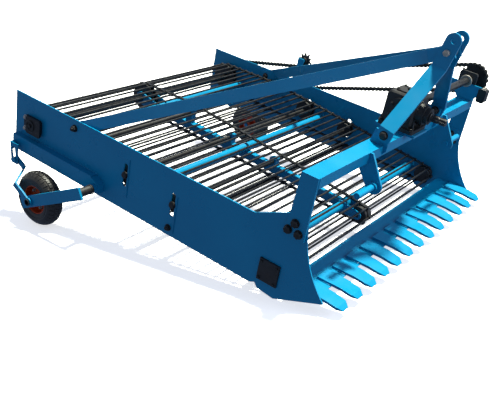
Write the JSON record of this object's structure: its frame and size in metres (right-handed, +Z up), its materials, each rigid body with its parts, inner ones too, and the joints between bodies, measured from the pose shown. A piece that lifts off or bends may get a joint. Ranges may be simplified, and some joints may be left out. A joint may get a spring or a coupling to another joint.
{
  "type": "mounted potato digger",
  "caption": "Tractor-mounted potato digger: tined share, rod-link digging web between side plates, three-point hitch, shaft and chain drive, hinged depth wheels.",
  "frame": {"origin": "on the floor under the middle of the machine's bounding box", "axes": "+X is the direction of travel, +Y the machine's left, +Z up"},
  "size_m": [2.0742, 2.012, 1.0736],
  "materials": {
    "frame_paint": "glossy enamel, blue",
    "black_paint": "black painted castings",
    "machined_steel": "dark turned steel",
    "web_steel": "black dipped spring steel",
    "roller_iron": "black cast iron",
    "chain_steel": "oiled steel",
    "pin_steel": "painted with the frame",
    "tyre": "black rubber",
    "rim_paint": "red-orange enamel"
  },
  "bodies": {
    "frame": {"brace_left": "frame_paint", "brace_right": "frame_paint", "centre_beam": "frame_paint", "cross_shaft": "machined_steel", "cross_tubes": "frame_paint", "drive_bearing": "black_paint", "drive_bracket": "frame_paint", "drive_chain": "chain_steel", "front_carrier": "roller_iron", "front_covers": "black_paint", "front_fork": "frame_paint", "front_rollers": "roller_iron", "front_sprocket": "black_paint", "gearbox": "black_paint", "gearbox_base": "frame_paint", "hitch_beam": "frame_paint", "idler_arm": "frame_paint", "idler_sprocket": "black_paint", "lower_link_pin_left": "pin_steel", "lower_link_pin_right": "pin_steel", "lower_link_plates": "frame_paint", "mast_arm_left": "frame_paint", "mast_arm_right": "frame_paint", "mast_lugs": "frame_paint", "middle_carrier": "roller_iron", "portal_leg_left": "frame_paint", "portal_leg_right": "frame_paint", "pto_shaft": "machined_steel", "rear_bearings": "black_paint", "rear_carrier": "roller_iron", "rear_shaft": "web_steel", "rear_sprocket": "black_paint", "return_carrier": "roller_iron", "shaft_coupling": "machined_steel", "shaft_hanger": "frame_paint", "share_plate": "frame_paint", "share_tines": "frame_paint", "side_plate_left": "frame_paint", "side_plate_right": "frame_paint", "strut_bracket_left": "frame_paint", "strut_bracket_right": "frame_paint", "web_links_left": "web_steel", "web_links_middle": "web_steel", "web_links_right": "web_steel", "web_rods": "web_steel", "wheel_pivot_left": "frame_paint", "wheel_pivot_right": "frame_paint", "wheel_rail_left": "frame_paint", "wheel_rail_right": "frame_paint"},
    "arm_right": {"wheel_arm_right": "frame_paint"},
    "strut_right": {"wheel_strut_right": "frame_paint"},
    "wheel_right": {"tyre_right": "tyre", "rim_right": "rim_paint"},
    "arm_left": {"wheel_arm_left": "frame_paint"},
    "strut_left": {"wheel_strut_left": "frame_paint"},
    "wheel_left": {"tyre_left": "tyre", "rim_left": "rim_paint"}
  },
  "joints": [
    {"name": "wheel_arm_right", "type": "hinge", "parent": "frame", "child": "arm_right", "pos_m": [-0.39304, -0.85, 0.26773], "axis": [0, 1, 0], "range_deg": [-0.5, 6]},
    {"name": "wheel_strut_right", "type": "hinge", "parent": "arm_right", "child": "strut_right", "pos_m": [-0.74379, -0.991, 0.144], "axis": [0, 1, 0], "range_deg": [-2.14, 0.27]},
    {"name": "wheel_spin_right", "type": "hinge", "parent": "arm_right", "child": "wheel_right", "pos_m": [-0.74379, -0.919, 0.144], "axis": [0, 1, 0], "continuous": true},
    {"name": "wheel_arm_left", "type": "hinge", "parent": "frame", "child": "arm_left", "pos_m": [-0.39304, 0.85, 0.26773], "axis": [0, 1, 0], "range_deg": [-0.5, 6]},
    {"name": "wheel_strut_left", "type": "hinge", "parent": "arm_left", "child": "strut_left", "pos_m": [-0.74379, 0.991, 0.144], "axis": [0, 1, 0], "range_deg": [-2.14, 0.27]},
    {"name": "wheel_spin_left", "type": "hinge", "parent": "arm_left", "child": "wheel_left", "pos_m": [-0.74379, 0.919, 0.144], "axis": [0, 1, 0], "continuous": true}
  ],
  "couplings": [
    {"joint": "wheel_strut_right", "follows": "wheel_arm_right", "ratio": -0.3393},
    {"joint": "wheel_strut_left", "follows": "wheel_arm_left", "ratio": -0.3393}
  ]
}
